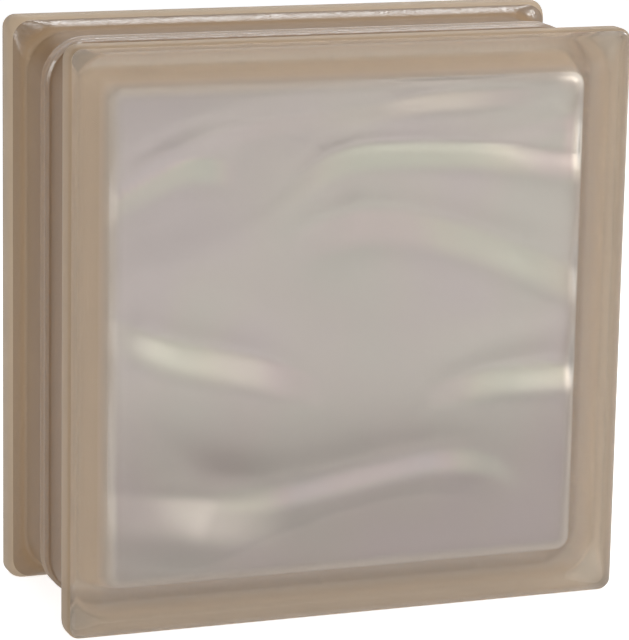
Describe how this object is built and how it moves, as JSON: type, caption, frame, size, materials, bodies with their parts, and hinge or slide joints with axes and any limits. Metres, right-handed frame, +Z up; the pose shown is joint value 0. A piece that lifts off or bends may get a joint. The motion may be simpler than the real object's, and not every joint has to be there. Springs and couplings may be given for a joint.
{
  "type": "hollow glass block",
  "caption": "Square hollow glass block with satin faces, a wavy pearly inner relief, brown tinted edges and a mortar channel around its sides.",
  "frame": {"origin": "middle of the block's footprint, on the level that it stands on", "axes": "+Z up, -Y out of the front face, +X to the right of someone looking at the front face"},
  "size_m": [0.19, 0.08, 0.19],
  "materials": {
    "front_glass": "sandblasted satin face, pearly coating on the waves inside, brown tinted sides",
    "back_glass": "sandblasted satin face, pearly coating on the waves inside, brown tinted sides"
  },
  "bodies": {
    "root": {"front_shell": "front_glass", "back_shell": "back_glass"}
  },
  "joints": []
}
